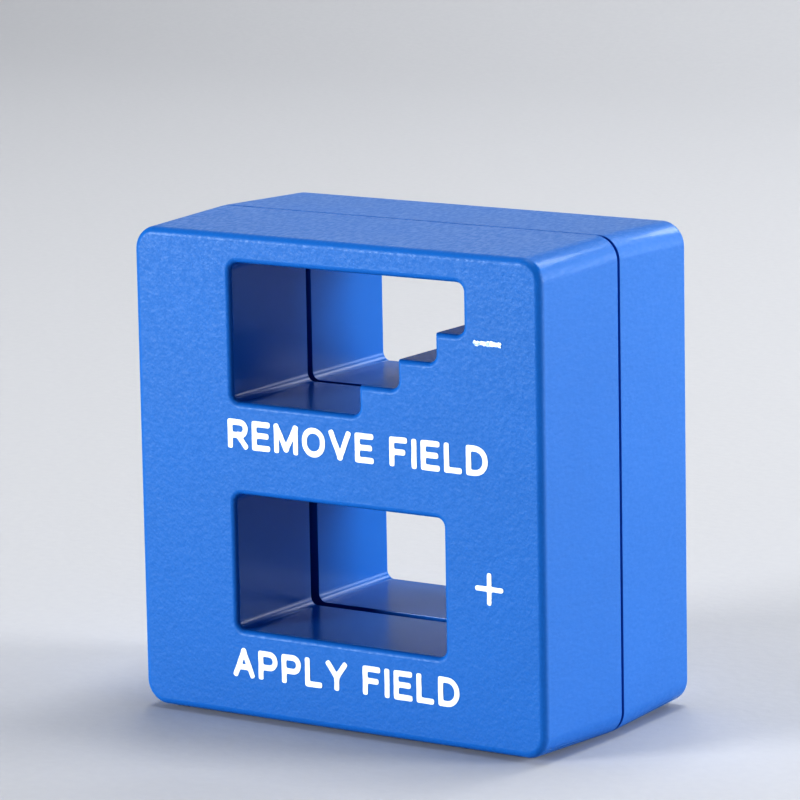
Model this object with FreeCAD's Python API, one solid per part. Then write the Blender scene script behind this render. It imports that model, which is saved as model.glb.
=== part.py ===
import FreeCAD, Part
import math
import os

# Magnetizer and demagnetizer block: two moulded half shells round two ferrite magnets.
# X runs to the right, Y into the depth and Z up, in millimetres. The origin is on the ground,
# under the middle of the parting line, so the shells meet in the plane Y = 0.

# Outer block, measured at the parting line where the section is largest
width = 50.0
height = 51.0
depth = 28.0
outline_radius = 2.5
face_radius = 0.8
draft = 0.42

# Moulded walls
outer_wall = 2.0
tunnel_wall = 1.3
rib = 1.2

# Windows, at the tunnel walls
window_left = -12.6
rim_radius = 0.6
window_radius = 0.9
plain_right = 12.8
plain_bottom = 9.5
plain_top = 23.7
stepped_bottom = 33.25
stepped_top = 47.6
step_rise = 3.05
step_edges = (2.95, 7.65, 12.15, 15.5)
plain_gap = 1.4
stepped_gap = 0.8

# Parting line: a narrow shadow groove round the outside
groove_width = 0.4
groove_depth = 0.4

# Posts of the rear shell in bosses of the front shell, as (x, z)
post_places = ((-18.4, 14.0), (18.6, 14.0), (-18.4, 43.0), (19.9, 43.0))
boss_radius = 2.3
boss_gap = 0.1
post_radius = 1.2
post_length = 5.5
socket_radius = 1.25
socket_depth = 6.0

# Magnets and the adhesive behind them
magnet_length = 40.0
magnet_depth = 22.0
magnet_height = 5.0
magnet_chamfer = 0.3
magnet_clearance = 0.02
stop_clearance = 0.2
lower_magnet_bottom = 2.65
nib_place = 14.5
nib_width = 1.0
nib_below = 2.0
nib_above = 1.5
pocket_start = 1.0
glue_length = 12.0
glue_height = 3.4

# Printed marks, a film of ink that stands on the front face
film = 0.04
stroke = 0.6
stroke_end_radius = 0.15
cap_height = 3.05
letter_gap = 0.5
word_gap = 1.9
upper_words = "REMOVE FIELD"
lower_words = "APPLY FIELD"
legend_left = -13.2
upper_legend_bottom = 28.5
lower_legend_bottom = 4.6
minus_centre = (18.4, 41.85)
plus_centre = (18.2, 17.2)
sign_length = 3.3
sign_width = 0.52

# Plain capitals on a unit square: straight strokes as (x, z, x, z) and bows as (foot, top),
# half rounds that bulge to the right side. letter_widths are overall, in millimetres.
letter_widths = {
    "A": 2.65, "D": 2.55, "E": 2.25, "F": 2.15, "I": stroke, "L": 2.1,
    "M": 2.95, "O": 2.8, "P": 2.4, "R": 2.5, "V": 2.65, "Y": 2.6,
}
letter_strokes = {
    "A": ((0, 0, 0.5, 1), (0.5, 1, 1, 0), (0.18, 0.32, 0.82, 0.32)),
    "D": ((0, 0, 0, 1),),
    "E": ((0, 0, 0, 1), (0, 1, 1, 1), (0, 0.52, 0.9, 0.52), (0, 0, 1, 0)),
    "F": ((0, 0, 0, 1), (0, 1, 1, 1), (0, 0.5, 0.85, 0.5)),
    "I": ((0, 0, 0, 1),),
    "L": ((0, 0, 0, 1), (0, 0, 1, 0)),
    "M": ((0, 0, 0, 1), (0, 1, 0.5, 0.08), (0.5, 0.08, 1, 1), (1, 1, 1, 0)),
    "O": (),
    "P": ((0, 0, 0, 1),),
    "R": ((0, 0, 0, 1), (0.5, 0.46, 1, 0)),
    "V": ((0, 1, 0.5, 0), (0.5, 0, 1, 1)),
    "Y": ((0, 1, 0.5, 0.45), (0.5, 0.45, 1, 1), (0.5, 0.45, 0.5, 0)),
}
letter_bows = {"D": (0, 1), "P": (0.42, 1), "R": (0.46, 1)}

half_depth = depth / 2
inner_face = half_depth - outer_wall
# How far a rib or post reaches into the wall it grows from, and how nearly round a full corner may be
root = 1.0
almost = 0.98
tiny = 1e-6


# ---------------------------------------------------------------- outlines and simple solids

def at(x, y, z):
    return FreeCAD.Vector(x, y, z)


def box(x_range, y_range, z_range):
    """A block between three pairs of limits."""
    size = [high - low for low, high in (x_range, y_range, z_range)]
    return Part.makeBox(size[0], size[1], size[2], at(x_range[0], y_range[0], z_range[0]))


def grown(corners, distance):
    """The corners of a right-angled outline moved outwards, anticlockwise from the front."""
    moved = []
    for index, (x, z, radius) in enumerate(corners):
        before = corners[index - 1]
        after = corners[(index + 1) % len(corners)]
        come_x = math.copysign(1, x - before[0]) if abs(x - before[0]) > tiny else 0
        come_z = math.copysign(1, z - before[1]) if abs(z - before[1]) > tiny else 0
        leave_x = math.copysign(1, after[0] - x) if abs(after[0] - x) > tiny else 0
        leave_z = math.copysign(1, after[1] - z) if abs(after[1] - z) > tiny else 0
        turn = come_x * leave_z - come_z * leave_x
        new_radius = max(radius + turn * distance, 0) if radius else 0
        moved.append((x + distance * (come_z + leave_z), z - distance * (come_x + leave_x), new_radius))
    return moved


def outline(corners, y):
    """A closed wire at depth y through right-angled corners, each rounded by its own radius."""
    starts, ends, edges = [], [], []
    for index, (x, z, radius) in enumerate(corners):
        corner = at(x, y, z)
        before = corners[index - 1]
        after = corners[(index + 1) % len(corners)]
        come = (corner - at(before[0], y, before[1])).normalize()
        leave = (at(after[0], y, after[1]) - corner).normalize()
        starts.append(corner - come * radius)
        ends.append(corner + leave * radius)
        if radius:
            centre = corner - come * radius + leave * radius
            middle = centre + (corner - centre).normalize() * radius
            edges.append(Part.Arc(starts[-1], middle, ends[-1]).toShape())
        else:
            edges.append(None)
    path = []
    for index, arc in enumerate(edges):
        if arc:
            path.append(arc)
        following = (index + 1) % len(corners)
        path.append(Part.LineSegment(ends[index], starts[following]).toShape())
    return Part.Wire(path)


def prism(corners, y_range):
    """The solid inside an outline, straight from one depth to another."""
    return Part.Face(outline(corners, y_range[0])).extrude(at(0, y_range[1] - y_range[0], 0))


def side_span(side, near, far):
    """The y limits of something from near to far off the parting plane, on one side of it."""
    return (-far, -near) if side < 0 else (near, far)


def plain_corners():
    """The plain window at its tunnel walls."""
    r = window_radius
    return [
        (window_left, plain_bottom, r), (plain_right, plain_bottom, r),
        (plain_right, plain_top, r), (window_left, plain_top, r),
    ]


def stepped_corners():
    """The stepped window at its tunnel walls: the floor climbs to the right in equal rises."""
    corners = [(window_left, stepped_bottom, window_radius)]
    for index, x in enumerate(step_edges):
        floor = stepped_bottom + index * step_rise
        corners.append((x, floor, window_radius))
        if index < len(step_edges) - 1:
            corners.append((x, floor + step_rise, 0))
    corners.append((step_edges[-1], stepped_top, window_radius))
    corners.append((window_left, stepped_top, window_radius))
    return corners


windows = {"plain": (plain_corners(), plain_gap), "stepped": (stepped_corners(), stepped_gap)}


# ---------------------------------------------------------------- the half shells

def drafted_block(side, inset, reach, radius):
    """Half a block from the parting plane outwards, drafted, with its four long edges rounded."""
    far_inset = inset + draft * reach / half_depth
    first, last = (far_inset, inset) if side < 0 else (inset, far_inset)
    y_low, y_high = side_span(side, 0, reach)
    solid = Part.makeWedge(
        first - width / 2, y_low, first, last, last - width / 2,
        width / 2 - first, y_high, height - first, height - last, width / 2 - last,
    )
    long_edges = [e for e in solid.Edges if abs(e.Vertexes[0].Y - e.Vertexes[-1].Y) > tiny]
    return solid.makeFillet(radius, long_edges)


def outer_half(side):
    """The solid half block with its rounded face edges. side is -1 for the front and 1 for the rear."""
    solid = drafted_block(side, 0, half_depth, outline_radius)
    face_edges = [e for e in solid.Edges if all(abs(v.Y - side * half_depth) < tiny for v in e.Vertexes)]
    return solid.makeFillet(face_radius, face_edges)


def cavity_half(side):
    """The hollow inside the outer walls of one half."""
    return drafted_block(side, outer_wall, inner_face, outline_radius - outer_wall)


def tunnel_half(side, corners, gap):
    """The wall round one window, from the face to just short of the parting plane."""
    return prism(grown(corners, tunnel_wall), side_span(side, gap / 2, half_depth - face_radius))


def webs(side):
    """Flat walls that carry the window floors and roofs on to the outer walls, and the ribs."""
    reach = (-width / 2, width / 2)
    plain_span = side_span(side, plain_gap / 2, half_depth - face_radius)
    stepped_span = side_span(side, stepped_gap / 2, half_depth - face_radius)
    made = [
        box(reach, plain_span, (plain_bottom - tunnel_wall, plain_bottom)),
        box(reach, plain_span, (plain_top, plain_top + tunnel_wall)),
        box(reach, stepped_span, (stepped_bottom - tunnel_wall, stepped_bottom)),
    ]
    for index, x in enumerate(step_edges[1:]):
        foot = stepped_bottom + (index + 1) * step_rise
        made.append(box((x, x + tunnel_wall), stepped_span, (stepped_bottom, foot)))
    for x, z in post_places:
        low, high = (plain_bottom, plain_top) if z < plain_top else (stepped_bottom, stepped_top)
        made.append(box((x - rib / 2, x + rib / 2), plain_span, (low, high)))
    return made


def pocket_ribs(side, bottom):
    """Ribs that hold one magnet: end stops, nibs above and below it, and in front of it too."""
    top = bottom + magnet_height
    pocket = (bottom - nib_below, top + nib_above)
    span = side_span(side, pocket_start, inner_face + root)
    stop = magnet_length / 2 + stop_clearance
    made = []
    for hand in (-1, 1):
        made.append(box(sorted((hand * stop, hand * (stop + rib))), span, pocket))
        nib = (hand * nib_place - nib_width / 2, hand * nib_place + nib_width / 2)
        made.append(box(nib, span, (pocket[0], bottom - magnet_clearance)))
        made.append(box(nib, span, (top + magnet_clearance, pocket[1])))
        if side < 0:
            made.append(box(nib, side_span(side, magnet_depth / 2, inner_face + root), pocket))
    return made


def middle_magnet_bottom():
    """The middle magnet lies halfway between the two windows."""
    return (plain_top + stepped_bottom - magnet_height) / 2


def shell(side):
    """One moulded half: outer walls, tunnels, webs, ribs and bosses, with the ways through cut out."""
    block = outer_half(side)
    body = block.cut(cavity_half(side))
    inside = webs(side)
    inside += [tunnel_half(side, corners, gap) for corners, gap in windows.values()]
    inside += pocket_ribs(side, lower_magnet_bottom) + pocket_ribs(side, middle_magnet_bottom())
    for x, z in post_places:
        y_low, y_high = side_span(side, 0 if side < 0 else boss_gap, half_depth - face_radius)
        inside.append(Part.makeCylinder(boss_radius, y_high - y_low, at(x, y_low, z), at(0, 1, 0)))
    core = inside[0].multiFuse(inside[1:]).common(block)
    body = body.fuse(core)
    for corners, _ in windows.values():
        body = body.cut(prism(corners, side_span(side, 0, half_depth)))
    return body.removeSplitter()


def rounded_rims(body, side):
    """Rounds the edge where each window meets the face."""
    face = side * half_depth
    rims = []
    for edge in body.Edges:
        on_face = all(abs(v.Y - face) < tiny for v in edge.Vertexes)
        middle = edge.CenterOfMass
        inside = abs(middle.x) < width / 2 - outer_wall and outer_wall < middle.z < height - outer_wall
        if on_face and inside:
            rims.append(edge)
    return body.makeFillet(rim_radius, rims)


def grooved(body):
    """Cuts one half of the shadow groove round the parting line."""
    span = (-groove_width / 2, groove_width / 2)
    around = box((-width, width), span, (-height, 2 * height))
    r = outline_radius - groove_depth
    left, bottom = groove_depth - width / 2, groove_depth
    right, top = width / 2 - groove_depth, height - groove_depth
    kept = prism([(left, bottom, r), (right, bottom, r), (right, top, r), (left, top, r)], span)
    return body.cut(around.cut(kept))


def socket(x, z):
    """The blind hole in a front boss."""
    return Part.makeCylinder(socket_radius, socket_depth, at(x, -socket_depth, z), at(0, 1, 0))


def post(x, z):
    """The post that stands out of a rear boss, with its root inside the boss."""
    return Part.makeCylinder(post_radius, post_length + root, at(x, -post_length, z), at(0, 1, 0))


# ---------------------------------------------------------------- magnets and adhesive

def magnet(bottom):
    """A ferrite block with ground faces and lightly broken edges."""
    span_x = (-magnet_length / 2, magnet_length / 2)
    span_y = (-magnet_depth / 2, magnet_depth / 2)
    block = box(span_x, span_y, (bottom, bottom + magnet_height))
    return block.makeChamfer(magnet_chamfer, block.Edges)


def glue(bottom):
    """A flattened dab of adhesive between a magnet and the rear shell."""
    middle = bottom + magnet_height / 2
    half = glue_height / 2
    r = half * almost
    corners = [
        (-glue_length / 2, middle - half, r), (glue_length / 2, middle - half, r),
        (glue_length / 2, middle + half, r), (-glue_length / 2, middle + half, r),
    ]
    return prism(corners, (magnet_depth / 2, inner_face))


# ---------------------------------------------------------------- printed marks

def inked(corners):
    """The film of ink over the inside of an outline on the front face."""
    return prism(corners, (-half_depth, -half_depth - film))


def bar(start, end, thickness):
    """One straight stroke between two (x, z) points, half a thickness longer at both ends."""
    run, rise = end[0] - start[0], end[1] - start[1]
    reach = thickness / 2 / math.hypot(run, rise)
    along = (run * reach, rise * reach)
    across = (rise * reach, -run * reach)
    corners = []
    for point, ahead, aside in ((start, -1, 1), (end, 1, 1), (end, 1, -1), (start, -1, -1)):
        x = point[0] + ahead * along[0] + aside * across[0]
        z = point[1] + ahead * along[1] + aside * across[1]
        corners.append((x, z, stroke_end_radius))
    return inked(corners)


def loop(left, right, low, high, left_radius, right_radius):
    """A closed band of ink along a rectangle with its left and right corners rounded."""
    bands = []
    for grow in (stroke / 2, -stroke / 2):
        near, far = max(left_radius + grow, 0), right_radius + grow
        corners = [
            (left - grow, low - grow, near), (right + grow, low - grow, far),
            (right + grow, high + grow, far), (left - grow, high + grow, near),
        ]
        bands.append(inked(corners))
    return bands[0].cut(bands[1])


def letter(name, left, bottom):
    """One capital with its lower left corner at the given place, as a single solid."""
    across = letter_widths[name] - stroke
    up = cap_height - stroke
    x0, z0 = left + stroke / 2, bottom + stroke / 2
    parts = []
    for x1, z1, x2, z2 in letter_strokes[name]:
        parts.append(bar((x0 + x1 * across, z0 + z1 * up), (x0 + x2 * across, z0 + z2 * up), stroke))
    if name in letter_bows:
        foot, top = letter_bows[name]
        radius = min(across, (top - foot) * up / 2) * almost
        parts.append(loop(x0, x0 + across, z0 + foot * up, z0 + top * up, 0, radius))
    if name == "O":
        radius = across / 2 * almost
        parts.append(loop(x0, x0 + across, z0, z0 + up, radius, radius))
    if len(parts) == 1:
        return parts[0]
    return parts[0].multiFuse(parts[1:]).removeSplitter()


def legend(words, bottom):
    """One line of capitals, letter after letter."""
    left = legend_left
    letters = []
    for name in words:
        if name == " ":
            left += word_gap - letter_gap
            continue
        letters.append(letter(name, left, bottom))
        left += letter_widths[name] + letter_gap
    return Part.makeCompound(letters)


def sign(centre, upright):
    """A minus sign, or with an upright stroke a plus sign."""
    x, z = centre
    reach = (sign_length - sign_width) / 2
    level = bar((x - reach, z), (x + reach, z), sign_width)
    if not upright:
        return level
    return level.fuse(bar((x, z - reach), (x, z + reach), sign_width)).removeSplitter()


# ---------------------------------------------------------------- assembly

marks = {
    "upper_legend": legend(upper_words, upper_legend_bottom),
    "lower_legend": legend(lower_words, lower_legend_bottom),
    "minus_mark": sign(minus_centre, False),
    "plus_mark": sign(plus_centre, True),
}

front = grooved(rounded_rims(shell(-1), -1))
for x, z in post_places:
    front = front.cut(socket(x, z))

rear = grooved(rounded_rims(shell(1), 1))
for x, z in post_places:
    rear = rear.fuse(post(x, z))

nodes = {"front_shell": front, "rear_shell": rear.removeSplitter()}
nodes["lower_magnet"] = magnet(lower_magnet_bottom)
nodes["middle_magnet"] = magnet(middle_magnet_bottom())
nodes["lower_magnet_glue"] = glue(lower_magnet_bottom)
nodes["middle_magnet_glue"] = glue(middle_magnet_bottom())
nodes.update(marks)

os.makedirs("parts", exist_ok=True)
for name, shape in nodes.items():
    shape.exportStep(os.path.join("parts", name + ".step"))
    print(name, "solids", len(shape.Solids), "volume", round(shape.Volume, 2), "valid", shape.isValid())
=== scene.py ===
import math

import bmesh
import bpy
from mathutils import Matrix, Vector, noise


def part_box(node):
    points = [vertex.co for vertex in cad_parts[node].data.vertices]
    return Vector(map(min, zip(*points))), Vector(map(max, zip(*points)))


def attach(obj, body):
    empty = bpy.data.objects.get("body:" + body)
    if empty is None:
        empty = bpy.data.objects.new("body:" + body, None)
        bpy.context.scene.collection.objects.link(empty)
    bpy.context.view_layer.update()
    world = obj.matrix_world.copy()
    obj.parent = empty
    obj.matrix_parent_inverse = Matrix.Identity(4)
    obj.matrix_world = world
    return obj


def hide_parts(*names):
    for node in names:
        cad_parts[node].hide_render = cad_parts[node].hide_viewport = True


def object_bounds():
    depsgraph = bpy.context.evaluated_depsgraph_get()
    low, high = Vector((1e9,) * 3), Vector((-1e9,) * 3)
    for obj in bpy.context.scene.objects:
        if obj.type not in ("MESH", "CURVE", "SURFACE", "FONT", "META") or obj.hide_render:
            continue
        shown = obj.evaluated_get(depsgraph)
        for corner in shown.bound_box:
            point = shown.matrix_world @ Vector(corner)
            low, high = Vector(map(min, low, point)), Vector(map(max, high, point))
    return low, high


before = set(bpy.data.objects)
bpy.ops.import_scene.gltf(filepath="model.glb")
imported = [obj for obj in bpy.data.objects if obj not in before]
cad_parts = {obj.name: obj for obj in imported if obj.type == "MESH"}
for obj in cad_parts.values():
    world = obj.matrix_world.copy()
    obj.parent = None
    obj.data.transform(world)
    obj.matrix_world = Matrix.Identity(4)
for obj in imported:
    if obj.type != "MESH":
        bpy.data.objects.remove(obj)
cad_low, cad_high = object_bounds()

# ---------------------------------------------------------------- studio
# A seamless sheet of pale card on a table. The block stands on it, and behind it the card sweeps up into a
# tall cove. It isn't part of the object.
MM = 0.001
sweep_half_width = 1.2
sweep_front = -1.0
sweep_rear = 0.45
sweep_radius = 0.35
sweep_height = 1.2
sweep_steps = 16

profile = [(sweep_front, 0.0)]
for step in range(sweep_steps + 1):
    turn = math.radians(90 * step / sweep_steps)
    profile.append((sweep_rear + sweep_radius * math.sin(turn), sweep_radius * (1 - math.cos(turn))))
profile.append((sweep_rear + sweep_radius, sweep_height))
sweep_verts = [(x, y, z) for y, z in profile for x in (-sweep_half_width, sweep_half_width)]
sweep_faces = [(2 * i, 2 * i + 1, 2 * i + 3, 2 * i + 2) for i in range(len(profile) - 1)]
sweep_mesh = bpy.data.meshes.new("studio_sweep")
sweep_mesh.from_pydata(sweep_verts, [], sweep_faces)
for face in sweep_mesh.polygons:
    face.use_smooth = True
sweep = bpy.data.objects.new("studio_sweep", sweep_mesh)
bpy.context.scene.collection.objects.link(sweep)


class Value:
    """A node's output that does arithmetic, each operation as one Math node."""

    def __init__(self, tree, socket):
        self.tree = tree
        self.socket = socket

    def calculate(self, operation, *operands):
        return node(self.tree, "ShaderNodeMath", {"operation": operation}, *operands)

    def __add__(self, other):
        return self.calculate("ADD", self, other)

    def __radd__(self, other):
        return self.calculate("ADD", other, self)

    def __sub__(self, other):
        return self.calculate("SUBTRACT", self, other)

    def __rsub__(self, other):
        return self.calculate("SUBTRACT", other, self)

    def __mul__(self, other):
        return self.calculate("MULTIPLY", self, other)

    def __rmul__(self, other):
        return self.calculate("MULTIPLY", other, self)

    def __abs__(self):
        return self.calculate("ABSOLUTE", self)

    def or_more(self, other):
        """The larger of the two."""
        return self.calculate("MAXIMUM", self, other)

    def rises(self, low, high):
        """0 below low, 1 above high and smooth in between."""
        settings = {"interpolation_type": "SMOOTHSTEP"}
        return node(self.tree, "ShaderNodeMapRange", settings, self, low, high)


def put(tree, target, value):
    """Connects a Value to an input, or sets the input to a plain number or colour."""
    if isinstance(value, Value):
        tree.links.new(value.socket, target)
    else:
        target.default_value = value


def node(tree, kind, settings, *inputs, output=0, **named):
    """Adds one node: its type, its settings, then its inputs in order or by name."""
    made = tree.nodes.new(kind)
    for name, value in settings.items():
        setattr(made, name, value)
    for target, value in zip(made.inputs, inputs):
        put(tree, target, value)
    for name, value in named.items():
        put(tree, made.inputs[name.replace("_", " ")], value)
    return Value(tree, made.outputs[output])


def blend(tree, factor, first, second):
    """One colour mixed into another."""
    mix = tree.nodes.new("ShaderNodeMix")
    mix.data_type = "RGBA"
    put(tree, mix.inputs["Factor"], factor)
    put(tree, mix.inputs["A"], first)
    put(tree, mix.inputs["B"], second)
    return Value(tree, mix.outputs["Result"])


class Material:
    """A new material with its shader and the place on the object, in millimetres."""

    def __init__(self, name):
        self.data = bpy.data.materials.new(name)
        self.data.use_nodes = True
        self.tree = self.data.node_tree
        self.shader = self.tree.nodes["Principled BSDF"]
        metres = node(self.tree, "ShaderNodeTexCoord", {}, output="Object")
        self.place = node(self.tree, "ShaderNodeVectorMath", {"operation": "SCALE"}, metres, Scale=1 / MM)
        apart = self.tree.nodes.new("ShaderNodeSeparateXYZ")
        put(self.tree, apart.inputs[0], self.place)
        self.x, self.y, self.z = (Value(self.tree, out) for out in apart.outputs)

    def stretched(self, x, y, z):
        """The place with each axis scaled, for marks that run in one direction."""
        return node(self.tree, "ShaderNodeVectorMath", {"operation": "MULTIPLY"}, self.place, (x, y, z))

    def noise(self, per_mm, detail=3, roughness=0.5, place=None):
        """Cloudy noise from 0 to 1."""
        return node(self.tree, "ShaderNodeTexNoise", {}, Vector=place or self.place, Scale=per_mm,
                    Detail=detail, Roughness=roughness)

    def cells(self, per_mm, smoothness, place=None):
        """Rounded pits with soft borders, as the distance to the nearest cell centre."""
        return node(self.tree, "ShaderNodeTexVoronoi", {"feature": "SMOOTH_F1"}, Vector=place or self.place,
                    Scale=per_mm, Smoothness=smoothness)

    def relief(self, height, depth):
        """Bends the surface by a height from 0 to 1 that stands for a real depth in metres."""
        normal = node(self.tree, "ShaderNodeBump", {}, Strength=1, Distance=depth, Height=height)
        self.connect("Normal", normal)

    def connect(self, name, value):
        put(self.tree, self.shader.inputs[name], value)


card = Material("pale_card")
fibre = card.noise(0.8, detail=6)
card.connect("Base Color", blend(card.tree, fibre, (0.56, 0.57, 0.6, 1), (0.6, 0.61, 0.63, 1)))
card.connect("Roughness", 0.85)
card.relief(fibre, 0.03 * MM)
sweep_mesh.materials.append(card.data)

# ---------------------------------------------------------------- camera
# A long lens in front of the block's right edge and a little above it.
heading = math.radians(33.93)
height_angle = math.radians(10.67)
roll = math.radians(-1.05)
distance = 0.5015
aim = Vector((-0.00163, 0.00028, 0.03208))

toward = Vector((math.sin(heading) * math.cos(height_angle), -math.cos(heading) * math.cos(height_angle),
                 math.sin(height_angle)))
camera_data = bpy.data.cameras.new("camera")
camera_data.sensor_width = 36
camera_data.lens = 219.5
camera = bpy.data.objects.new("camera", camera_data)
bpy.context.scene.collection.objects.link(camera)
turned = (-toward).to_track_quat("-Z", "Y").to_matrix() @ Matrix.Rotation(roll, 3, "Z")
camera.matrix_world = Matrix.Translation(aim + toward * distance) @ turned.to_4x4()
bpy.context.scene.camera = camera

# ---------------------------------------------------------------- lights
# Soft boxes: a large one to the left in front, a large one to the right, one overhead, and three weak ones
# behind that put a sheen on the right side and skim over the top. The room is dim, so the rounded corners
# that face between the boxes stay deep in colour.
block_middle = (cad_low + cad_high) / 2


def soft_box(name, place, size, power):
    """A square lamp that faces the block."""
    data = bpy.data.lights.new(name, "AREA")
    data.size = size
    data.energy = power
    lamp = bpy.data.objects.new(name, data)
    bpy.context.scene.collection.objects.link(lamp)
    lamp.location = place
    lamp.rotation_euler = (block_middle - Vector(place)).to_track_quat("-Z", "Y").to_euler()
    lamp.visible_camera = False


soft_box("front_box", (-0.54, -0.76, 0.16), 0.34, 8.9)
soft_box("right_box", (0.86, 0.35, 0.2), 0.34, 6.6)
soft_box("right_rear_box", (0.47, 0.58, 0.17), 0.24, 0.8)
soft_box("left_rear_box", (-0.39, 0.57, 0.43), 0.25, 0.35)
soft_box("rear_box", (0.14, 0.6, 0.43), 0.24, 0.8)
soft_box("top_box", (0.0, 0.1, 0.9), 0.4, 3.1)

room = bpy.data.worlds.new("room")
room.use_nodes = True
room.node_tree.nodes["Background"].inputs["Color"].default_value = (0.82, 0.86, 0.92, 1)
room.node_tree.nodes["Background"].inputs["Strength"].default_value = 0.05
bpy.context.scene.world = room
bpy.context.scene.view_settings.view_transform = "Standard"
bpy.context.scene.view_settings.look = "High Contrast"

# ---------------------------------------------------------------- shells
# The two halves of the housing, injection moulded in blue ABS and cemented where their rims meet. The
# mould was spark eroded outside, which leaves a fine pebble grain, and polished in the windows. The sides,
# top and bottom are painted a little paler than the faces: a painted sheen that stands in for the light
# they catch.
half_depth = 14.0
half_width = 25.0
block_height = 51.0
corner_radius = 2.5
groove_lip = 0.2
eased_edge = 0.09
window_zones = ((-13.3, 13.5, 8.8, 24.4), (-13.3, 16.2, 32.5, 48.3))


def on_groove_lip(point):
    """True on the outer edge of the shadow groove at the parting line."""
    x, y, z = (value / MM for value in point)
    beside = max(abs(x) - (half_width - corner_radius), 0)
    above = max(abs(z - block_height / 2) - (block_height / 2 - corner_radius), 0)
    return corner_radius - math.hypot(beside, above) < 0.1 and abs(abs(y) - groove_lip) < 0.05


def in_window(point):
    """True on the walls and rims of the two windows, whose zones are left, right, bottom and top."""
    x, y, z = (value / MM for value in point)
    return any(left < x < right and low < z < high for left, right, low, high in window_zones)


def moulding(name, cad_name):
    """A copy of a packed shell with its flat faces merged and its visible sharp edges eased."""
    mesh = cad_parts[cad_name].data.copy()
    mesh.name = name
    mesh.materials.clear()
    shell = bmesh.new()
    shell.from_mesh(mesh)
    bmesh.ops.remove_doubles(shell, verts=shell.verts, dist=1e-6)
    bmesh.ops.dissolve_limit(shell, angle_limit=math.radians(0.5), verts=shell.verts, edges=shell.edges)
    sharp = []
    for edge in shell.edges:
        if edge.is_convex and edge.calc_face_angle() > math.radians(35):
            corners = [corner.co for corner in edge.verts]
            if all(on_groove_lip(point) for point in corners) or all(in_window(point) for point in corners):
                sharp.append(edge)
    bmesh.ops.bevel(shell, geom=sharp, offset=eased_edge * MM, segments=2, profile=0.5, affect="EDGES")
    for edge in shell.edges:
        edge.smooth = edge.calc_face_angle() < math.radians(38)
    for face in shell.faces:
        face.smooth = True
    shell.to_mesh(mesh)
    shell.free()
    piece = bpy.data.objects.new(name, mesh)
    bpy.context.scene.collection.objects.link(piece)
    modifier = piece.modifiers.new("flat faces stay flat", "WEIGHTED_NORMAL")
    modifier.keep_sharp = True
    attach(piece, "root")
    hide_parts(cad_name)
    return piece


shells = [moulding("front_housing", "front_shell"), moulding("rear_housing", "rear_shell")]

abs_blue = Material("blue_abs")
on_faces = abs(abs_blue.y).rises(half_depth - 0.7, half_depth - 0.1)
beside = abs(abs_blue.x) - (half_width - 1)
above = abs(abs_blue.z - block_height / 2) - (block_height / 2 - 1)
on_sides = beside.or_more(above).rises(0.0, 0.3)
outside = on_faces.or_more(on_sides)
on_top = abs_blue.z.rises(block_height - 0.7, block_height - 0.2)
painted_sheen_sides = on_sides * (1 - on_faces)
drawn = abs_blue.stretched(1.0, 0.45, 1.0)
pebbles = abs_blue.cells(3.0, 0.5, drawn) * 0.5 + abs_blue.noise(5.0, 2, place=drawn) * 0.4
pebbles = pebbles + abs_blue.noise(1.4, 1, place=drawn) * 0.9
cloud = abs_blue.noise(0.09, 2)
scuffs = abs_blue.noise(0.6, 6, 0.7, abs_blue.stretched(1.0, 1.0, 6.0)).rises(0.6, 0.72) * outside
tone = blend(abs_blue.tree, cloud, (0.009, 0.138, 0.45, 1), (0.011, 0.153, 0.5, 1))
speckle = abs_blue.noise(2.6, 3, 0.6, drawn).rises(0.38, 0.62) * outside
# The top gets more of the paler speckle than the other faces: partly random tone, partly painted glints on
# its grain.
tone = blend(abs_blue.tree, speckle * (0.15 + on_top * 0.1), tone, (0.018, 0.185, 0.58, 1))
# Painted sheen: the sides, top and bottom are mixed a little towards a paler blue for the light they catch.
tone = blend(abs_blue.tree, painted_sheen_sides * 0.1, tone, (0.22, 0.34, 0.78, 1))
abs_blue.connect("Base Color", blend(abs_blue.tree, scuffs * 0.12, tone, (0.05, 0.22, 0.72, 1)))
abs_blue.connect("Roughness", 0.2 + outside * 0.3 + cloud * 0.06 - scuffs * 0.05 - speckle * 0.12)
abs_blue.relief(pebbles * (on_faces * 0.28 + painted_sheen_sides * (0.25 + on_top * 0.3)), 0.09 * MM)
abs_blue.connect("IOR", 1.52)
abs_blue.connect("Specular IOR Level", 0.26)
for shell_piece in shells:
    shell_piece.data.materials.append(abs_blue.data)

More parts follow.
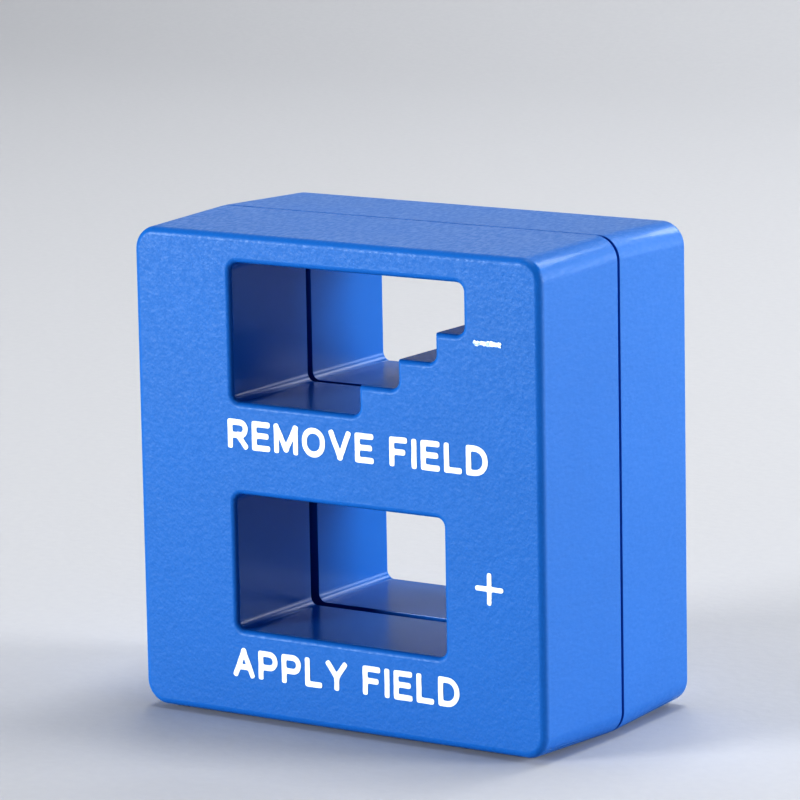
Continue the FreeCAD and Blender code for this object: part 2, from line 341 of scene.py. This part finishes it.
# ---------------------------------------------------------------- printed marks
# The two legends and the two signs, pad printed in one pass of white ink. The ink creeps a little at
# the corners of each letter, its edge is never quite straight, and the minus sign came out thin and ragged.
def ink_tree():
    """The geometry of an ink film: a flat outline, crept and roughened, filled and given its thickness."""
    tree = bpy.data.node_groups.new("ink_film", "GeometryNodeTree")
    sockets = tree.interface
    sockets.new_socket("Outline", in_out="INPUT", socket_type="NodeSocketGeometry")
    for name, kind in (("Point spacing", "Float"), ("Creep", "Int"), ("Roughness of edge", "Float"),
                       ("Scale of edge", "Float"), ("Film thickness", "Float"), ("Face depth", "Float"),
                       ("Seed", "Float"), ("Ink", "Material")):
        sockets.new_socket(name, in_out="INPUT", socket_type="NodeSocket" + kind)
    sockets.new_socket("Film", in_out="OUTPUT", socket_type="NodeSocketGeometry")
    entry = tree.nodes.new("NodeGroupInput")
    given = {socket.name: Value(tree, socket) for socket in entry.outputs if socket.name}

    line = node(tree, "GeometryNodeMeshToCurve", {}, given["Outline"])
    line = node(tree, "GeometryNodeResampleCurve", {"mode": "LENGTH"}, line, Length=given["Point spacing"])
    place = node(tree, "GeometryNodeInputPosition", {})
    crept = node(tree, "GeometryNodeBlurAttribute", {"data_type": "FLOAT_VECTOR"}, Value=place,
                 Iterations=given["Creep"])
    cloud = node(tree, "ShaderNodeTexNoise", {"noise_dimensions": "4D"}, Vector=place, W=given["Seed"],
                 Scale=given["Scale of edge"], Detail=3, output="Color")
    around = node(tree, "ShaderNodeVectorMath", {"operation": "SUBTRACT"}, cloud, (0.5, 0.5, 0.5))
    shift = node(tree, "ShaderNodeVectorMath", {"operation": "SCALE"}, around,
                 Scale=given["Roughness of edge"])
    line = node(tree, "GeometryNodeSetPosition", {}, line, Position=crept, Offset=shift)
    sheet = node(tree, "GeometryNodeFillCurve", {}, line)
    raised = node(tree, "GeometryNodeExtrudeMesh", {}, sheet, Offset_Scale=given["Film thickness"],
                  Individual=False)
    back = node(tree, "GeometryNodeFlipFaces", {}, sheet)
    join = tree.nodes.new("GeometryNodeJoinGeometry")
    put(tree, join.inputs[0], back)
    put(tree, join.inputs[0], raised)
    film = node(tree, "GeometryNodeMergeByDistance", {}, Value(tree, join.outputs[0]), Distance=0.000001)
    spot = node(tree, "ShaderNodeCombineXYZ", {}, Y=given["Face depth"])
    film = node(tree, "GeometryNodeTransform", {}, film, Translation=spot, Rotation=(math.pi / 2, 0, 0))
    film = node(tree, "GeometryNodeRealizeInstances", {}, film)
    film = node(tree, "GeometryNodeSetMaterial", {}, film, Material=given["Ink"])
    leave = tree.nodes.new("NodeGroupOutput")
    put(tree, leave.inputs[0], film)
    return tree


def outline_of(cad_name):
    """The edges of a packed mark's front face, laid flat."""
    film = bmesh.new()
    film.from_mesh(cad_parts[cad_name].data)
    bmesh.ops.remove_doubles(film, verts=film.verts, dist=1e-6)
    film.verts.index_update()
    front = min(corner.co.y for corner in film.verts)
    front_faces = {face for face in film.faces
                   if all(abs(corner.co.y - front) < 1e-6 for corner in face.verts)}
    edges = []
    for edge in film.edges:
        if sum(face in front_faces for face in edge.link_faces) == 1:
            edges.append(tuple(corner.index for corner in edge.verts))
    places = [(corner.co.x, corner.co.z, 0) for corner in film.verts]
    film.free()
    used = sorted({index for edge in edges for index in edge})
    order = {index: position for position, index in enumerate(used)}
    mesh = bpy.data.meshes.new("outline")
    mesh.from_pydata([places[index] for index in used], [(order[a], order[b]) for a, b in edges], [])
    return mesh


def printed(name, cad_name, tree, **settings):
    """One mark as an ink film on the front face."""
    draft = bpy.data.objects.new(name, outline_of(cad_name))
    bpy.context.scene.collection.objects.link(draft)
    modifier = draft.modifiers.new("ink", "NODES")
    modifier.node_group = tree
    sockets = {item.name: item.identifier for item in tree.interface.items_tree if item.in_out == "INPUT"}
    for label, value in settings.items():
        modifier[sockets[label.replace("_", " ")]] = value
    bpy.context.view_layer.update()
    shape = draft.evaluated_get(bpy.context.evaluated_depsgraph_get())
    mesh = bpy.data.meshes.new_from_object(shape)
    mesh.materials.pop(index=0)  # the bare outline's empty slot
    bpy.data.objects.remove(draft)
    piece = bpy.data.objects.new(name, mesh)
    bpy.context.scene.collection.objects.link(piece)
    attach(piece, "root")
    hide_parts(cad_name)
    return piece


ink = Material("white_ink")
thin_spots = ink.noise(7.0, 4, 0.6).rises(0.63, 0.74)
nicks = ink.noise(2.2, 3, 0.6).rises(0.7, 0.76)
minus_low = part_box("minus_mark")[0] / MM
on_minus = ink.x.rises(minus_low.x - 1, minus_low.x - 0.5) * ink.z.rises(minus_low.z - 1, minus_low.z - 0.5)
starved = on_minus * ink.noise(2.6, 4, 0.65, ink.stretched(1.0, 1.0, 2.2)).rises(0.46, 0.56)
worn = (thin_spots * 0.22 + nicks * 0.3).or_more(starved * 0.85)
ink.connect("Base Color", blend(ink.tree, worn, (0.84, 0.87, 0.9, 1), (0.2, 0.4, 0.75, 1)))
ink.connect("Roughness", 0.34 + ink.noise(1.5, 2) * 0.14)
ink.relief(ink.noise(5.0, 3), 0.015 * MM)

ink_film = ink_tree()
film_low, film_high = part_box("upper_legend")
clean_edge = {"Creep": 5, "Roughness_of_edge": 0.1 * MM, "Scale_of_edge": 900.0}
ragged_edge = {"Creep": 3, "Roughness_of_edge": 0.5 * MM, "Scale_of_edge": 2500.0}
marks = (("upper_legend", clean_edge), ("lower_legend", clean_edge), ("plus_mark", clean_edge),
         ("minus_mark", ragged_edge))
for index, (name, edge) in enumerate(marks):
    printed(name + "_ink", name, ink_film, Point_spacing=0.06 * MM, Film_thickness=film_high.y - film_low.y,
            Face_depth=film_high.y, Seed=float(index), Ink=ink.data, **edge)

# ---------------------------------------------------------------- magnets
# Two blocks of sintered ferrite in ribbed pockets, one between the windows and one under the lower window.
# Their faces are ground along their length, and their brittle edges are broken by a small chamfer.
ferrite = Material("ferrite")
grinding = ferrite.noise(3.0, 5, 0.7, ferrite.stretched(0.05, 2.0, 2.0))
# Painted shade: the pores are painted near black for the shade inside them; the bump gives them their dip.
pores_painted_shade = ferrite.cells(2.2, 0.1).rises(0.02, 0.12)
grey = blend(ferrite.tree, grinding, (0.035, 0.035, 0.038, 1), (0.085, 0.083, 0.085, 1))
ferrite.connect("Base Color", blend(ferrite.tree, pores_painted_shade, (0.015, 0.015, 0.016, 1), grey))
ferrite.connect("Roughness", 0.36 + grinding * 0.3)
ferrite.connect("Metallic", 0.15)
ferrite.relief(grinding * 0.6 + pores_painted_shade * 0.4, 0.03 * MM)
for name in ("middle_magnet", "lower_magnet"):
    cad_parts[name].material_slots[0].material = ferrite.data

# ---------------------------------------------------------------- glue
# A dab of hot-melt glue behind each magnet, squeezed flat between the magnet and the rear wall. It
# bulged where it could and cooled with a smooth, slightly wavy rim.
glue_rings = 12
glue_points = 64
glue_bulge = 0.12
glue_squareness = 0.7


def glue_dab(name, cad_name, seed):
    """A squeezed dab: rings across its thickness, fullest in the middle, with an uneven outline."""
    low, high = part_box(cad_name)
    middle, half = (low + high) / 2, (high - low) / 2
    dab = bmesh.new()
    rings = []
    for level in range(glue_rings + 1):
        across = 2 * level / glue_rings - 1
        fullness = 1 - glue_bulge * across * across
        ring = []
        for index in range(glue_points):
            turn = math.tau * index / glue_points
            wave = noise.noise(Vector((math.cos(turn) * 1.5, math.sin(turn) * 1.5, seed)))
            reach = fullness * (0.93 + 0.07 * wave)
            x = math.copysign(abs(math.cos(turn)) ** glue_squareness, math.cos(turn)) * half.x * reach
            z = math.sin(turn) * half.z * reach
            ring.append(dab.verts.new((middle.x + x, middle.y + half.y * across, middle.z + z)))
        rings.append(ring)
    for ring, following in zip(rings, rings[1:]):
        for index in range(glue_points):
            after = (index + 1) % glue_points
            dab.faces.new((ring[index], ring[after], following[after], following[index]))
    dab.faces.new(rings[0])
    dab.faces.new(rings[-1])
    bmesh.ops.recalc_face_normals(dab, faces=dab.faces)
    for face in dab.faces:
        face.smooth = len(face.verts) == 4
    mesh = bpy.data.meshes.new(name)
    dab.to_mesh(mesh)
    dab.free()
    piece = bpy.data.objects.new(name, mesh)
    bpy.context.scene.collection.objects.link(piece)
    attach(piece, "root")
    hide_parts(cad_name)
    return piece


hot_melt = Material("glue")
milk = hot_melt.noise(0.5, 3)
hot_melt.connect("Base Color", blend(hot_melt.tree, milk, (0.62, 0.55, 0.36, 1), (0.74, 0.68, 0.5, 1)))
hot_melt.connect("Roughness", 0.22 + milk * 0.15)
hot_melt.connect("Subsurface Weight", 0.3)
hot_melt.connect("Subsurface Scale", 0.002)
hot_melt.relief(hot_melt.noise(0.9, 2), 0.1 * MM)
for index, name in enumerate(("middle_magnet_glue", "lower_magnet_glue")):
    glue_dab(name + "_dab", name, index * 3.7).data.materials.append(hot_melt.data)
